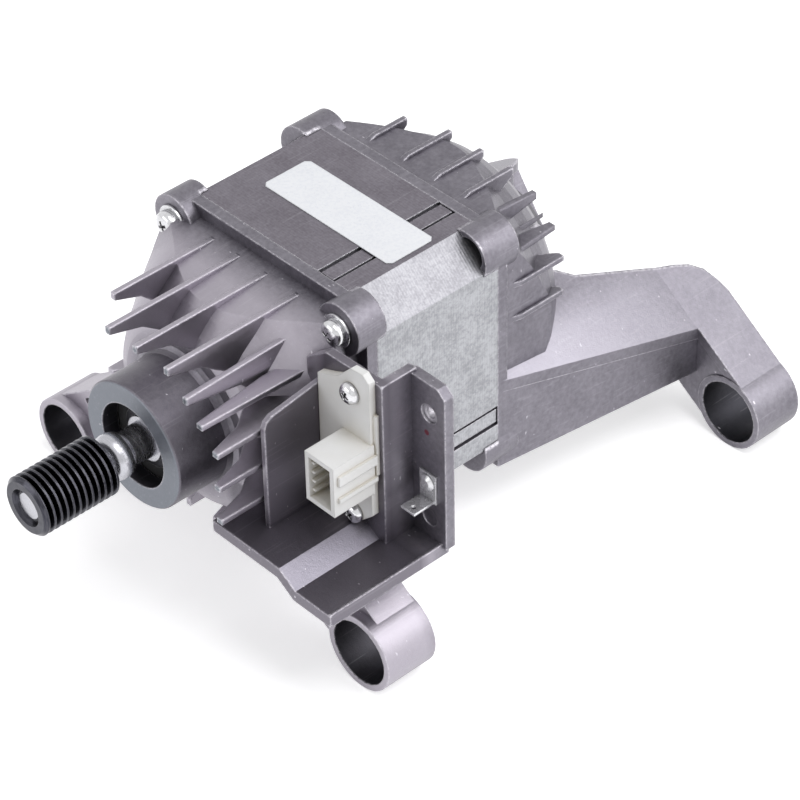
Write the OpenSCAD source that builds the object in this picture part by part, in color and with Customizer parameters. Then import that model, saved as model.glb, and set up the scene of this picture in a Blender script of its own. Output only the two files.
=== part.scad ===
// Three-phase induction motor of a front-loading washing machine.
// The shaft runs along Y with the belt pulley at the front, towards -Y.
// Sections are drawn as x,z outlines and swept along Y, or turned round the shaft axis.

/* [Stator stack] */
// Width and height of the square lamination stack
stack_w = 90; // [88:0.5:94]
// Length of the stack along the shaft
stack_len = 49; // [40:1:60]
// Corner chamfer of the stack
stack_chamfer = 10.6; // [9:0.2:12]
// Radius of the stator bore
stator_bore_r = 26; // [24:0.5:27]
// Number of winding slots
slot_count = 24; // [12:6:36]
// Radial depth of a winding slot
slot_depth = 9.5; // [8:0.5:10]
// Length of a winding head beyond the stack
winding_overhang = 22; // [16:1:23]
// Width of the cleat channels pressed into the stack
cleat_channel_w = 7.5; // [5:0.5:9]
// Depth of the cleat channels
cleat_channel_d = 1.2; // [0.8:0.1:2]
// Distance from the middle of a flat to the middle of its channel
cleat_offset = 23.3; // [18:0.5:26]

/* [Shields] */
// Length of a flange along the shaft
flange_len = 8; // [6:0.5:10]
// Length of the full-width lip next to the stack
lip_len = 4; // [2:0.5:6]
// How far the rear shield's flats are set in behind the lip
flat_inset = 2; // [1:0.25:2.5]
// How far the front shield's flats are set in behind the lip
front_inset = 4; // [3.5:0.25:4.5]
// Slope of the front shield's flats towards the hub
flat_slope = 6; // [4:0.5:7]
// Casting wall between the outer form and the winding space
shield_wall = 3.6; // [3:0.2:4.5]
// Distance from the stack front to the front face of the dome
front_dome_len = 37; // [35:0.5:40]
// Distance from the stack rear to the rear face of the dome
rear_dome_len = 38; // [36:0.5:42]
// Distance from the stack front to the front face of the hub
hub_len = 58; // [56:0.5:62]
// Outer radius of the front hub
hub_r = 21.4; // [21:0.2:23]
// Radius of the opening in the hub face
hub_mouth_r = 14.2; // [12:0.2:14.6]
// Radius of a corner lug
lug_r = 8.8; // [7.5:0.2:9.5]
// Length of a lug beyond the joint face, over the stack chamfer
lug_wrap = 3; // [2:0.5:6]
// Distance of each through bolt from the shaft axis, in x and in z
bolt_offset = 37.2; // [36:0.2:37.6]

/* [Fins] */
// Thickness of a cooling fin
fin_t = 1.8; // [1.4:0.2:2.6]
// Distance between the fins of one flat
fin_pitch = 12.5; // [11.5:0.25:13]
// Place of the first fin on the front shield's side flats, from the middle
first_fin = -20; // [-21:0.25:-19]
// How much shorter the first fin of the front shield's top is
first_fin_cut = 11.5; // [0:0.5:14]
// Distance from the stack front to the tips of the short front fins
low_fin_len = 35; // [30:1:40]
// Height of the front fins' tips above the shaft axis
front_tip_h = 40.4; // [40.2:0.1:41]
// Height of the rear fins above the shaft axis
rear_tip_h = 44; // [43:0.5:45]
// Thickness of a fin's free end
fin_end_t = 2.4; // [1.5:0.2:4]

/* [Mounting feet] */
// Distance between the left and the right mounting bores
foot_spacing = 140; // [132:1:150]
// Distance of the mounting bores below the shaft axis
foot_drop = 53; // [50:0.5:56]
// Diameter of the mounting bores
foot_bore_d = 22; // [18:0.5:22]
// Wall of a foot tube
foot_wall = 2.2; // [2:0.1:4]
// Length of a foot tube
foot_len = 19; // [16:0.5:22]
// Distance from the stack front to the front face of the front feet
front_foot_y = 33; // [31:0.5:36]
// Distance from the front feet's faces to the rear feet's faces
foot_stride = 161; // [150:0.5:170]
// Slope of the arms that carry the feet
arm_slope = 35; // [33:1:37]
// Skin thickness of the rear arms
arm_skin = 3.5; // [2.5:0.25:4.5]
// Angle at which the rear arms' skins rise towards the stack
skin_rise = 5.4; // [4.5:0.3:6]

/* [Bearings] */
// Bore, outer diameter and width of the front ball bearing
front_bearing = [15, 35, 11];
// Bore, outer diameter and width of the rear ball bearing
rear_bearing = [12, 32, 10];
// Ball diameter
ball_d = 6; // [5.5:0.1:6.2]
// Number of balls in each bearing
ball_count = 8; // [7:1:8]

/* [Rotor] */
// Air gap between the rotor and the stator
air_gap = 0.4; // [0.3:0.05:0.8]
// Number of cage bars
bar_count = 18; // [14:1:22]
// Radius of a cage bar
bar_r = 2; // [1.6:0.1:2.3]
// Length of an end ring
ring_len = 8; // [6:0.5:10]

/* [Pulley] */
// Outer diameter of the ribbed pulley
pulley_d = 19.6; // [18:0.2:22]
// Number of ribs, of the 2.34 mm J section
pulley_ribs = 11; // [8:1:12]
// Distance from the hub face to the rear face of the pulley
pulley_gap = 13; // [12:0.5:16]
// Diameter of the shaft in the pulley
pulley_bore_d = 9.6; // [9:0.2:11]

/* [Connector bracket] */
// Outer face of the plate beside the fins, from the shaft axis
side_plate_x = 41.5; // [41:0.1:41.8]
// Thickness of the plate beside the fins
side_plate_t = 1.8; // [1.6:0.1:2.4]
// Distance from the stack front to the front face of the connector wall
wall_y = 19.5; // [18:0.5:21]
// Distance from the connector wall back to the earth panel
panel_step = 11.5; // [9:0.5:12]
// Wall thickness of the bracket
bracket_t = 3; // [2.5:0.25:3.5]
// Right edge of the earth panel, from the shaft axis
panel_x = 82; // [80:0.5:82.5]
// Top of the bracket above the shaft axis
bracket_top = 39.5; // [38:0.5:41]
// Gap between the connector's flange and the tray's upper floor
tray_gap = 1; // [0.8:0.1:1.4]
// Step from the upper to the lower floor of the tray
tray_step = 4.5; // [3:0.5:6]
// Thickness of the tray
tray_t = 4; // [3:0.25:4.5]
// Front edge of the tray, from the stack front
tray_front = 52.5; // [50:0.5:54]

/* [Connector] */
// Width of the connector flange
plug_w = 22; // [21:0.5:23]
// Height of the connector flange
plug_h = 56; // [54:0.5:57]
// Thickness of the connector flange
plug_t = 2.5; // [2:0.25:3]
// Width of the socket
socket_w = 12.2; // [11:0.2:13]
// Height of the socket
socket_h = 18.2; // [17:0.2:20]
// How far the socket stands out from the flange
socket_len = 15; // [12:0.5:17]
// Distance of each connector screw from the end of the flange
plug_screw_edge = 5.5; // [5:0.25:7]

/* [Label] */
// Length of the label across the stack
label_w = 56.5; // [50:0.5:58]
// Width of the label along the shaft
label_d = 18.5; // [16:0.5:20]
// Distance from the stack front to the label's edge
label_y = 16.6; // [14:0.2:20]
// Distance from the middle of the stack to the label's left edge
label_x = 24; // [22:0.5:26]

/* [Hidden] */
$fn = 48;

// Clearances
fit = 0.02;
gap = 0.3;
slip = 0.1;

// Stack
half_w = stack_w / 2;
flat_half = half_w - stack_chamfer;
rear_y = stack_len;
slot_inner_r = stator_bore_r + 1.6;
slot_outer_r = slot_inner_r + slot_depth;
tooth_gap = 1.2;

// Feet
foot_x = foot_spacing / 2;
foot_r = foot_bore_d / 2 + foot_wall;
front_feet_y = -front_foot_y;
rear_feet_y = front_feet_y + foot_stride;
arm_out = [sin(arm_slope), cos(arm_slope)];
arm_in = [-cos(arm_slope), sin(arm_slope)];
foot_c = [foot_x, -foot_drop];
band_r = foot_r - 0.4;

// Ribbed pulley
rib_pitch = 2.34;
rib_depth = 2;
pulley_rear_y = -hub_len - pulley_gap;
pulley_len = pulley_ribs * rib_pitch + 1.6;
pulley_front_y = pulley_rear_y - pulley_len;

// Bearings: each [bore r, outer r, width, front face y]
front_seat_y = -hub_len + 6;
front_b = [front_bearing[0] / 2, front_bearing[1] / 2, front_bearing[2], front_seat_y];
rear_seat_y = rear_y + rear_dome_len - 4 - rear_bearing[2];
rear_b = [rear_bearing[0] / 2, rear_bearing[1] / 2, rear_bearing[2], rear_seat_y];

// Shields
rear_face_y = rear_y + rear_dome_len;
rear_hub_y = rear_face_y + 4;
front_half = half_w - front_inset;
front_cavity_r = front_half - shield_wall;
cavity_r = half_w - flat_inset - shield_wall + 1;
tacho_r = 15;
cover_len = 8;
washer_t = 0.7;

// Connector bracket
wall_front = -wall_y;
panel_front = wall_front + panel_step;
plug_top = bracket_top + 3;
tray_top = plug_top - plug_h - tray_gap;
tray_low = tray_top - tray_step;
step_x = side_plate_x + side_plate_t + plug_w + 3;
plug_x = side_plate_x + side_plate_t + 0.2;
plug_face = wall_front - plug_t;
plug_screw_pitch = plug_h - 2 * plug_screw_edge;
socket_x = plug_x + 10.4;
socket_z = plug_top - 33;
screw_x = plug_x + 14.5;

// Origin: middle of the footprint, at the height of the underside of the feet
shaft_height = foot_drop + foot_r;
middle_y = (pulley_front_y + rear_feet_y + foot_len) / 2;

// Drawing helpers
module place() translate([0, -middle_y, shaft_height]) children();
module sweep(y0, y1) translate([0, y1, 0]) rotate([90, 0, 0]) linear_extrude(y1 - y0) children();
module turned(points) rotate([-90, 0, 0]) rotate_extrude() polygon(points);
module rod(r, y0, y1) translate([0, y0, 0]) rotate([-90, 0, 0]) cylinder(r = r, h = y1 - y0);
module pipe(r0, r1, y0, y1) turned([[r0, y0], [r1, y0], [r1, y1], [r0, y1]]);
module around_y(n) for (i = [0 : n - 1]) rotate([0, i * 360 / n, 0]) children();
module corners(d) for (sx = [-1, 1], sz = [-1, 1]) translate([sx * d, 0, sz * d]) children();
module chamfered(h, c)
  polygon([[h - c, h], [h, h - c], [h, c - h], [h - c, -h], [c - h, -h], [-h, c - h], [-h, h - c],
    [c - h, h]]);

// Outer form of the front dome and its hub, turned and then cut to four sloping flats
module front_form() {
  difference() {
    front_dome();
    for (a = [0, 90, 180, 270]) rotate([0, a, 0]) translate([-45, 0, front_half])
      rotate([flat_slope, 0, 0]) translate([0, -40, 0]) cube([90, 42, 12]);
  }
}

module front_dome() {
  intersection() {
    turned([[0, -1], [62, -1], [58, -6], [48, -16], [40.5, -25], [36.5, -30.5], [32, -35.2],
      [28, -front_dome_len], [hub_r + 2.4, -front_dome_len], [hub_r + 0.7, -front_dome_len - 0.7],
      [hub_r, -front_dome_len - 2.4], [hub_r, 0.6 - hub_len], [hub_r - 0.6, -hub_len],
      [0, -hub_len]]);
    sweep(-hub_len - 1, 0) chamfered(front_half, stack_chamfer - 3.2);
  }
}

// Winding space, bearing seat and mouth of the front shield
module front_hollow() {
  turned([[0, 1], [front_cavity_r, 1], [front_cavity_r, -17.5], [28, 5 - front_dome_len],
    [front_b[1] + fit, 5 - front_dome_len], [front_b[1] + fit, front_seat_y], [0, front_seat_y]]);
  rod(hub_mouth_r, -hub_len - 1, front_seat_y + 1);
}

// One cooling fin on the upper flat: it rises at its root and its free end passes the dome
module fin(x, root_y, tip_y, root_h, tip_h) {
  span = tip_y - root_y;
  away = sign(span);
  translate([x - fin_t / 2, 0, 0]) rotate([90, 0, 90]) linear_extrude(fin_t)
    polygon([[root_y, root_h - 1.6], [root_y + away * 5, root_h], [tip_y, tip_h],
      [tip_y, tip_h - fin_end_t], [tip_y - span * 0.22, tip_h - fin_end_t - 3.5],
      [root_y + span * 0.52, 24], [root_y, 26]]);
}

// Fins at the given places on one flat, turned round the shaft axis by the angle a
module flat_fins(a, places, root_y, tip_y, root_h, tip_h) {
  rotate([0, a, 0]) for (x = places) fin(x, root_y, tip_y, root_h, tip_h);
}

// Two low fins beside the upper corner on the connector's side
module corner_fins(root_y, tip_y, x, h) {
  corner_fin(x, root_y, tip_y, h, h - 13.5);
  mirror([1, 0, -1]) corner_fin(x, root_y, tip_y, h, x + fin_t / 2 + 0.9);
}

// Low fin between the flat and the corner lug
module corner_fin(x, root_y, tip_y, h, foot) {
  away = sign(tip_y - root_y);
  translate([x - fin_t / 2, 0, 0]) rotate([90, 0, 90]) linear_extrude(fin_t)
    polygon([[root_y + away * 2, h + 1.5], [tip_y, h], [tip_y, h - fin_end_t],
      [tip_y - away * 20, max(foot + 0.8, h - fin_end_t - 3.5)], [root_y + away * 25, foot],
      [root_y + away * 2, foot]]);
}

// Corner lugs that wrap over the stack's chamfers
module lugs(y0, y1) {
  corners(bolt_offset) rod(lug_r, y0, y1);
}

// Outline of the arm between a foot tube and the casting, in the x,z plane
function along_arm(s, t) = foot_c + s * arm_in + t * arm_out;
module arm_outline(reach, top) {
  polygon([along_arm(0, top), along_arm(reach, top), along_arm(reach, -band_r),
    along_arm(0, -band_r)]);
}

// Front arm: a band down to the foot, wider where it leaves the casting, with a pocket
module front_arm() {
  y0 = front_feet_y + 3.5;
  y1 = front_feet_y + foot_len;
  difference() {
    union() {
      sweep(y0, y1 - 0.5) polygon([along_arm(0, band_r), along_arm(56, band_r), [12.5, -28],
        [12.5, -45.5], [19, -47.5], [31, -47], [37.5, -52], [46, -54], along_arm(0, -band_r)]);
      translate([foot_x, 0, -foot_drop]) rod(foot_r, front_feet_y, y1);
    }
    sweep(y0 - 1, y0 + 11) polygon([along_arm(17, foot_r - 3), along_arm(34, foot_r - 3),
      along_arm(34, 3 - foot_r), along_arm(17, 3 - foot_r)]);
  }
}

// Space under the skin of a rear arm: level along the foot, rising towards the stack
module under_skin(depth, drop) {
  top = along_arm(0, band_r - drop);
  translate([top[0], rear_feet_y, top[1]]) rotate([0, arm_slope, 0]) {
    translate([-95, -0.5, -depth]) cube([100, foot_len + 2, depth]);
    rotate([-skin_rise, 0, 0]) translate([-95, -90, -depth]) cube([100, 98, depth]);
  }
}

// Rear arm: skin, outer wall and inner rib run back, then a band turns down to the foot
module rear_arm() {
  y0 = rear_feet_y;
  y1 = rear_feet_y + foot_len;
  start = rear_y + 0.5;
  foot_top_x = along_arm(0, band_r)[0];
  wall_x0 = 44.8;
  wall_x1 = 55.3;
  intersection() {
    under_skin(arm_skin, 0);
    translate([0, 0, -60]) linear_extrude(90) polygon([[wall_x0, start], [wall_x1, y0 + 0.3],
      [foot_top_x, y0 + 0.3], [foot_top_x, y1], [51, y1], [46.8, y1 - 1.2], [42.6, y1 - 3.2],
      [39.6, y1 - 7], [37.6, y1 - 12], [34.8, y1 - 22], [28.2, rear_y + 50], [25, rear_y + 45],
      [15, rear_y + 20], [15, start]]);
  }
  intersection() {
    union() {
      translate([0, 0, -half_w]) linear_extrude(60)
        polygon([[wall_x0 - 0.2, start], [wall_x1 - 0.2, y0], [wall_x1 - 0.2, y0 + 1],
          [wall_x1 - arm_skin, y0 + 1], [wall_x0 - arm_skin - 1, start]]);
      translate([0, 0, -26]) linear_extrude(40)
        polygon([[19, start], [22.5, start], [29.4, rear_y + 44], [43, y1 - 9],
          [39.4, y1 - 8.6], [29, rear_y + 50.4], [25.8, rear_y + 45.4]]);
    }
    under_skin(60, 0.6);
  }
  difference() {
    union() {
      sweep(y0 + 0.5, y1 - 0.5) arm_outline(36, band_r - 0.5);
      translate([foot_x, 0, -foot_drop]) rod(foot_r, y0, y1);
    }
    sweep(y0 + arm_skin, y1 + 1) polygon([along_arm(17, foot_r - arm_skin),
      along_arm(33, foot_r - arm_skin), along_arm(33, arm_skin - foot_r),
      along_arm(17, arm_skin - foot_r)]);
  }
}

// Bores of the two feet of one shield
module foot_bores(y0) {
  for (sx = [-1, 1]) translate([sx * foot_x, 0, -foot_drop])
    rod(foot_bore_d / 2, y0 - 1, y0 + foot_len + 1);
}

// Tray, side plate, connector wall, step and earth panel, cast with the front shield
module bracket() {
  plate_front = -42.7;
  low_x = step_x - 3;
  high_x = low_x - 7;
  tray_x = panel_x - 1.5;
  under = tray_low - tray_t;
  sweep(-tray_front, panel_front + bracket_t - 0.6) polygon([[29, tray_top], [high_x, tray_top],
    [low_x, tray_low], [tray_x - 1, tray_low], [tray_x - 1, tray_low + 0.5],
    [tray_x, tray_low + 0.5], [tray_x, under], [low_x - 1, under],
    [high_x - 1, tray_top - tray_t], [29, tray_top - tray_t]]);
  translate([side_plate_x, 0, 0]) rotate([90, 0, 90]) linear_extrude(side_plate_t)
    polygon([[plate_front, tray_top - 2], [plate_front, 23], [plate_front + 0.9, 25.2],
      [plate_front + 3, 26.4], [wall_front + 2, 29.6], [wall_front + 2, tray_top - 2]]);
  sweep(wall_front, wall_front + bracket_t) polygon([[36, tray_top - 1.5],
    [high_x, tray_top - 1.5], [step_x - 1, tray_low - 1.5], [step_x - 1, bracket_top + 0.6],
    [side_plate_x + 3, bracket_top], [36, 33]]);
  translate([step_x - bracket_t, wall_front, tray_low - 2])
    cube([bracket_t, panel_step + 2, bracket_top + 2.6 - tray_low]);
  sweep(panel_front, panel_front + bracket_t + 0.5)
    polygon([[step_x - 2, under - 1], [panel_x, under + 3], [panel_x, bracket_top - 3],
      [panel_x - 3, bracket_top - 0.3], [step_x - 2, bracket_top - 0.3]]);
  sweep(front_feet_y + foot_len - 3.5, front_feet_y + foot_len - 0.5)
    polygon([[33, tray_top - 2], [high_x - 1, tray_top - 2], [low_x - 1, tray_low - 2],
      [tray_x - 6, tray_low - 2], [tray_x - 16, under - 5], along_arm(18, 4),
      along_arm(50, 0)]);
}

// Holes of the bracket: socket window, connector screws, earth rivet and a spare hole
module bracket_holes() {
  translate([socket_x, wall_front - 1, socket_z - socket_h / 2])
    cube([socket_w - 2, bracket_t + 2, socket_h]);
  plug_screw_places() rod(1.3, wall_front - 1, wall_front + bracket_t + 1);
  translate([75.4, 0, 28.2]) rod(1.9, panel_front - 1, panel_front + bracket_t + 2);
  translate([75.4, 0, 28.2]) rod(3.2, panel_front - 1, panel_front + 0.7);
  translate([75.1, 0, -11.2]) rod(3, panel_front - 1, panel_front + 0.4);
  translate([rivet_x, 0, rivet_z]) rod(1.6 + slip, panel_front - 1, panel_front + bracket_t + 2);
}
plug_mid_z = plug_top - plug_h / 2 - 3;
rivet_x = 75.2;
rivet_z = 2.8;

// Casting built up in steps: closed form, fins, bracket, arms
module front_core() {
  front_form();
  sweep(-lip_len, 0) chamfered(half_w, stack_chamfer);
  sweep(-flange_len, 0) chamfered(front_half - 0.9, stack_chamfer - 3.2);
  lugs(-flange_len, lug_wrap);
}

// Long fins on the top and the connector side, short ones on the other two flats
module front_fins() {
  places = [for (i = [0 : 3]) first_fin + i * fin_pitch];
  h = front_tip_h;
  flat_fins(0, [-19], -3, first_fin_cut - hub_len, h, h);
  flat_fins(0, [-7.4, 5, 19], -3, -hub_len, h, h);
  flat_fins(90, [places[0], places[1], places[2]], -3, -hub_len, h, h);
  flat_fins(90, [places[3]], -3, first_fin_cut - hub_len, h, h);
  flat_fins(180, places, -3, -low_fin_len, h, h);
  flat_fins(270, [places[0], places[1]], -3, -low_fin_len, h, h);
  flat_fins(270, [places[2], places[3]], -3, -24, h, h);
  corner_fins(-6, -hub_len, 26.8, 34);
}

module front_finned() {
  union() {
    front_core();
    front_fins();
  }
}

module front_casting() {
  union() {
    union() {
      union() {
        front_finned();
        bracket();
      }
      front_arm();
    }
    mirror([1, 0, 0]) front_arm();
  }
}

module front_shield() {
  color("slategray") difference() {
    front_casting();
    front_hollow();
    sweep(0, lug_wrap + 1) chamfered(half_w + slip, stack_chamfer);
    foot_bores(front_feet_y);
    corners(bolt_offset) rod(2.2, -flange_len - 1, lug_wrap + 1);
    corners(bolt_offset) rod(5.2, -flange_len - 1, -flange_len + 3);
    bracket_holes();
  }
}

module rear_form() {
  intersection() {
    turned([[0, rear_y + 1], [62, rear_y + 1], [58, rear_y + 6], [45.5, rear_y + 21],
      [42, rear_y + 27], [38, rear_y + 32], [33, rear_y + 36.3], [28, rear_face_y],
      [20, rear_face_y], [19.4, rear_hub_y], [0, rear_hub_y]]);
    sweep(rear_y, rear_hub_y + 1) chamfered(half_w - flat_inset, stack_chamfer - 1);
  }
}

// Rear fins: four on the top, two above the arm on each side, short ones below
module rear_fins() {
  root_y = rear_y + 6;
  tip_y = rear_y + 29;
  root_h = half_w - flat_inset + 1;
  flat_fins(0, [-21], root_y, tip_y - 5, root_h, rear_tip_h);
  flat_fins(0, [-6, 8, 21], root_y, tip_y, root_h, rear_tip_h);
  flat_fins(90, [-21.5, -8.6], root_y, tip_y, root_h, rear_tip_h);
  flat_fins(270, [8.6, 21.5], root_y, tip_y, root_h, rear_tip_h);
  flat_fins(180, [-8.6, 8.6], root_y, tip_y - 9, root_h, rear_tip_h);
  corner_fins(root_y, tip_y, 31, 40);
}

// Winding space with the bearing boss left standing, bearing seat and tacho recess
module rear_hollow() {
  boss_r = rear_b[1] + 4;
  turned([[0, rear_y - 1], [cavity_r, rear_y - 1], [cavity_r, rear_y + 18],
    [28, rear_face_y - 5], [boss_r, rear_face_y - 5], [boss_r, rear_seat_y - 2],
    [0, rear_seat_y - 2]]);
  rod(rear_b[1] + fit, rear_seat_y - 3, rear_seat_y + rear_b[2] + washer_t);
  rod(9, rear_seat_y, rear_hub_y + 1);
  rod(tacho_r + slip, rear_hub_y - 3, rear_hub_y + 1);
}

module rear_shield() {
  color("slategray") difference() {
    union() {
      rear_form();
      sweep(rear_y, rear_y + lip_len) chamfered(half_w, stack_chamfer);
      sweep(rear_y, rear_y + flange_len) chamfered(half_w - flat_inset, stack_chamfer - 1);
      lugs(rear_y - lug_wrap - 3, rear_y + flange_len);
      rear_fins();
      rear_arm();
      mirror([1, 0, 0]) rear_arm();
    }
    rear_hollow();
    sweep(rear_y - lug_wrap - 4, rear_y) chamfered(half_w + slip, stack_chamfer);
    foot_bores(rear_feet_y);
    corners(bolt_offset) rod(1.8, rear_y - lug_wrap - 4, rear_y + flange_len - 1);
    translate([39, 0, 39]) rod(5.4, rear_y - lug_wrap - 4, rear_y);
  }
}

// One slot outline, narrower by inset all round; it opens into the bore
module slot_shape(inset) {
  inner_w = 3.6;
  outer_w = 2 * slot_outer_r * tan(180 / slot_count) - 4.6;
  polygon([[inset - inner_w / 2, slot_inner_r + inset], [inner_w / 2 - inset,
    slot_inner_r + inset], [outer_w / 2 - inset, slot_outer_r - inset],
    [inset - outer_w / 2, slot_outer_r - inset]]);
}

module slots(inset) for (i = [0 : slot_count - 1]) rotate(i * 360 / slot_count) slot_shape(inset);

module cleat_channels(depth, w, y0, y1) {
  for (a = [0, 90, 180, 270]) rotate([0, a, 0])
    translate([cleat_offset - w / 2, y0, half_w - depth]) cube([w, y1 - y0, depth + 1]);
}

module stator_stack() {
  color("lightslategray") difference() {
    sweep(0, stack_len) difference() {
      chamfered(half_w, stack_chamfer);
      circle(stator_bore_r);
      slots(0);
      for (i = [0 : slot_count - 1]) rotate(i * 360 / slot_count)
        translate([-tooth_gap, stator_bore_r - 1]) square([2 * tooth_gap, 3]);
      for (sx = [-1, 1], sz = [-1, 1]) translate([sx, sz] * bolt_offset) circle(2.3);
    }
    cleat_channels(cleat_channel_d, cleat_channel_w, -1, stack_len + 1);
  }
}

module stator_cleats() {
  strip_w = cleat_channel_w - 2.5;
  color("gainsboro") for (a = [0, 90, 180, 270]) rotate([0, a, 0])
    translate([cleat_offset - strip_w / 2, 0.5, half_w - cleat_channel_d])
      cube([strip_w, stack_len - 1, cleat_channel_d - 0.3]);
}

module slot_liners() {
  color("ivory") sweep(-2, stack_len + 2) difference() {
    slots(0.05);
    slots(0.45);
  }
}

// Two winding heads joined through the slots
module stator_winding() {
  r0 = slot_inner_r + 0.6;
  r1 = slot_outer_r - 0.6;
  color("peru") {
    sweep(-3, stack_len + 3) slots(0.5);
    turned([[r0, -2.6], [r0, 4 - winding_overhang], [r0 + 2, 1 - winding_overhang],
      [r0 + 5, -winding_overhang], [r1 - 3, 2 - winding_overhang], [r1, 5 - winding_overhang],
      [r1, -2.6]]);
    turned([[r0, rear_y + 2.6], [r1, rear_y + 2.6], [r1, rear_y + winding_overhang - 5],
      [r1 - 3, rear_y + winding_overhang - 2], [r0 + 5, rear_y + winding_overhang],
      [r0 + 2, rear_y + winding_overhang - 1], [r0, rear_y + winding_overhang - 4]]);
  }
}

// Long bolts with round heads sunk in the front lugs
module housing_screws() {
  head_y = -flange_len + 3;
  color("silver") corners(bolt_offset) difference() {
    union() {
      rod(2, head_y - 0.01, rear_y + 5);
      turned([[0, head_y], [4, head_y], [4, head_y - 1.6], [3.2, head_y - 2.6],
        [0, head_y - 2.8]]);
    }
    sweep(head_y - 3, head_y - 1) circle(1.6, $fn = 6);
  }
}

// Ball bearing pieces, each for b = [bore r, outer r, width, front face y]
function ball_pitch_r(b) = (b[0] + b[1]) / 2;
function race_r(b) = ball_d / 2 + 0.03;
module race(b) turned_torus(ball_pitch_r(b), race_r(b), b[3] + b[2] / 2);
module turned_torus(r, minor, y) translate([0, y, 0]) rotate([-90, 0, 0]) rotate_extrude()
  translate([r, 0]) circle(minor);

module bearing_outer(b) color("silver") difference() {
  pipe(b[1] - (b[1] - b[0]) * 0.27, b[1], b[3], b[3] + b[2]);
  race(b);
}

module bearing_inner(b) color("silver") difference() {
  pipe(b[0], b[0] + (b[1] - b[0]) * 0.27, b[3], b[3] + b[2]);
  race(b);
}

module bearing_balls(b) color("gainsboro") around_y(ball_count)
  translate([ball_pitch_r(b), b[3] + b[2] / 2, 0]) sphere(ball_d / 2, $fn = 24);

module bearing_cage(b) {
  mid = b[3] + b[2] / 2;
  color("goldenrod") difference() {
    pipe(ball_pitch_r(b) - 0.9, ball_pitch_r(b) + 0.9, mid - 3.6, mid + 3.6);
    around_y(ball_count) translate([0, mid, 0]) rotate([0, 90, 0])
      cylinder(r = ball_d / 2 + 0.12, h = b[1]);
  }
}

// Two thin seals, held in the outer ring and clear of the inner ring
module bearing_seals(b) {
  inner = b[0] + (b[1] - b[0]) * 0.27 + gap;
  outer = b[1] - (b[1] - b[0]) * 0.27 - fit;
  color("dimgray") {
    pipe(inner, outer, b[3] + 0.4, b[3] + 1.1);
    pipe(inner, outer, b[3] + b[2] - 1.1, b[3] + b[2] - 0.4);
  }
}

module front_bearing_outer() bearing_outer(front_b);
module front_bearing_inner() bearing_inner(front_b);
module front_bearing_balls() bearing_balls(front_b);
module front_bearing_cage() bearing_cage(front_b);
module front_bearing_seals() bearing_seals(front_b);
module rear_bearing_outer() bearing_outer(rear_b);
module rear_bearing_inner() bearing_inner(rear_b);
module rear_bearing_balls() bearing_balls(rear_b);
module rear_bearing_cage() bearing_cage(rear_b);
module rear_bearing_seals() bearing_seals(rear_b);

// Preload washer between the rear bearing's outer ring and the end of its seat
module wave_washer() {
  start = rear_b[3] + rear_b[2];
  color("silver") pipe(rear_b[1] - 3.2, rear_b[1] - 0.4, start, start + washer_t);
}

module shaft() {
  core_r = 9;
  front_end = front_b[3] + front_b[2];
  color("lightgray") turned([[0, pulley_front_y + 1.4], [pulley_bore_d / 2 - 0.5,
    pulley_front_y + 1.4], [pulley_bore_d / 2, pulley_front_y + 1.9], [pulley_bore_d / 2,
    pulley_rear_y + 0.05], [6.5, pulley_rear_y + 0.05], [7.1, pulley_rear_y + 0.9],
    [7.4, pulley_rear_y + 2.4], [7.4, pulley_rear_y + 5], [7, pulley_rear_y + 6.4],
    [5.6, pulley_rear_y + 7.4], [5.2, pulley_rear_y + 8.2], [5.2, pulley_rear_y + 9.4],
    [5.9, pulley_rear_y + 10.2], [5.9, front_b[3] - 1.6], [front_b[0], front_b[3] - 1.6], [front_b[0], front_end + 0.02],
    [core_r, front_end + 0.02], [core_r, rear_b[3] - 3], [8, rear_b[3] - 2],
    [8, rear_b[3] - 0.02], [rear_b[0], rear_b[3] - 0.02],
    [rear_b[0], rear_b[3] + rear_b[2] + 1], [5, rear_b[3] + rear_b[2] + 1],
    [5, rear_hub_y + cover_len - 2.5], [4.5, rear_hub_y + cover_len - 2], [0,
    rear_hub_y + cover_len - 2]]);
}

module rotor_core() {
  rotor_r = stator_bore_r - air_gap;
  color("gray") sweep(0, stack_len) difference() {
    circle(rotor_r);
    circle(9 + fit);
    for (i = [0 : bar_count - 1]) rotate(i * 360 / bar_count)
      translate([rotor_r - bar_r - 0.8, 0]) circle(bar_r + fit);
  }
}

// Cast cage: bars, two end rings and short fan vanes
module rotor_cage() {
  rotor_r = stator_bore_r - air_gap;
  ring_r = rotor_r - 0.3;
  color("lightgray") {
    around_y(bar_count) translate([rotor_r - bar_r - 0.8, 0, 0]) rod(bar_r, -1, stack_len + 1);
    pipe(17.5, ring_r, -ring_len, -fit);
    pipe(17.5, ring_r, stack_len + fit, stack_len + ring_len);
    around_y(bar_count / 2) {
      translate([19, -ring_len - 5, -0.8]) cube([5, 5.5, 1.6]);
      translate([19, stack_len + ring_len - 0.5, -0.8]) cube([5, 5.5, 1.6]);
    }
  }
}

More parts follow.
